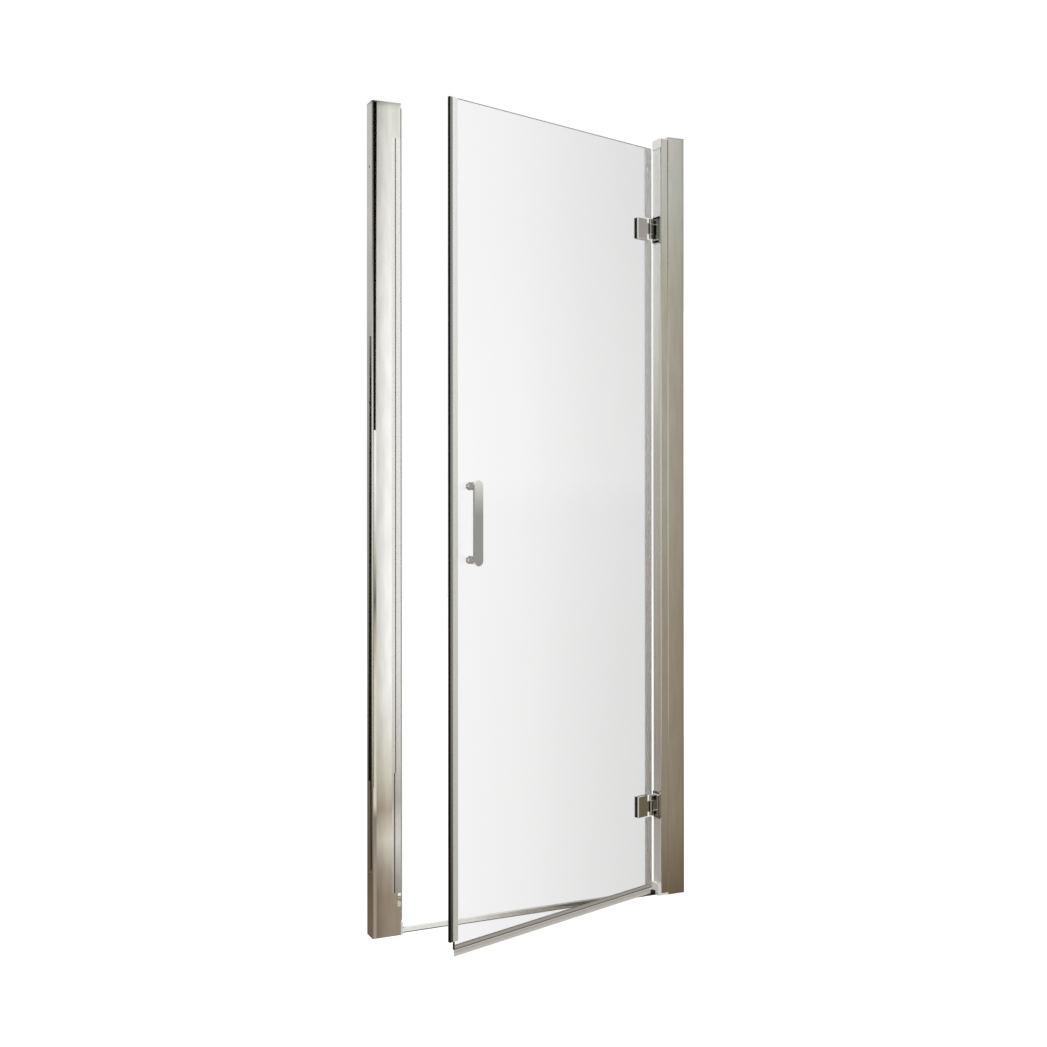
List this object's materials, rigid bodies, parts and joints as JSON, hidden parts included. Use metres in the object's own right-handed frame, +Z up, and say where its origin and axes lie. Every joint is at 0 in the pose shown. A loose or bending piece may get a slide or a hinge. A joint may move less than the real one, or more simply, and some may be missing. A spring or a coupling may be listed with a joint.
{
  "type": "hinged shower door",
  "caption": "Hinged glass shower door on pin hinges in a slim polished frame, with wall channels, magnetic seals, a threshold and a flat bar handle.",
  "frame": {"origin": "on the shower tray, halfway between the walls and on the closed door's centre plane, under the threshold", "axes": "+X along the opening towards the hinge side, -Y into the room, +Z up"},
  "size_m": [0.8, 0.239, 1.85],
  "materials": {
    "bright_aluminium": "bright polished and anodised",
    "bright_cap": "chrome-plated moulding",
    "chrome": "polished chrome plate",
    "zinc_steel": "zinc-plated and stainless steel",
    "white_plastic": "smooth moulded, satin gloss",
    "seal_pvc": "soft translucent grey PVC",
    "black_magnet": "magnetic rubber, satin",
    "black_rubber": "moulded rubber, matt",
    "nylon": "natural nylon",
    "toughened_glass": "clear, polished edges"
  },
  "bodies": {
    "wall_profiles": {"strike_wall_channel": "bright_aluminium", "hinge_wall_channel": "bright_aluminium", "strike_channel_cap": "bright_cap", "hinge_channel_cap": "bright_cap", "strike_adjust_screws": "zinc_steel", "hinge_adjust_screws": "zinc_steel", "strike_adjust_nuts": "zinc_steel", "hinge_adjust_nuts": "zinc_steel"},
    "inner_frame": {"strike_jamb": "bright_aluminium", "hinge_jamb": "bright_aluminium", "jamb_top_block": "white_plastic", "strike_corner_block": "white_plastic", "hinge_corner_block": "white_plastic", "threshold": "bright_aluminium", "threshold_rubber_stop": "black_rubber", "jamb_seal_strip": "seal_pvc", "strike_seal": "seal_pvc", "strike_magnet": "black_magnet", "upper_wall_plate": "chrome", "lower_wall_plate": "chrome", "upper_plate_cover": "chrome", "lower_plate_cover": "chrome", "upper_plate_screws": "zinc_steel", "lower_plate_screws": "zinc_steel", "upper_nut_plate": "zinc_steel", "lower_nut_plate": "zinc_steel", "upper_hinge_pin": "zinc_steel", "lower_hinge_pin": "zinc_steel"},
    "door": {"glass_panel": "toughened_glass", "upper_hinge_leaf": "chrome", "lower_hinge_leaf": "chrome", "upper_hinge_bushes": "nylon", "lower_hinge_bushes": "nylon", "upper_clamp_plate": "chrome", "lower_clamp_plate": "chrome", "upper_clamp_gaskets": "black_rubber", "lower_clamp_gaskets": "black_rubber", "upper_clamp_screws": "zinc_steel", "lower_clamp_screws": "zinc_steel", "leading_seal": "seal_pvc", "leading_magnet": "black_magnet", "hinge_edge_seal": "seal_pvc", "drip_seal": "seal_pvc", "handle_bar": "chrome", "handle_posts": "chrome", "handle_washers": "chrome", "handle_sleeves": "nylon", "handle_screws": "zinc_steel", "handle_caps": "chrome"}
  },
  "joints": [
    {"name": "frame_adjust", "type": "slide", "parent": "wall_profiles", "child": "inner_frame", "axis": [1, 0, 0], "range_m": [0, 0.012]},
    {"name": "door_swing", "type": "hinge", "parent": "inner_frame", "child": "door", "pos_m": [0.317, 0, 0.92], "axis": [0, 0, 1], "range_deg": [-18.7, 71.3]}
  ]
}
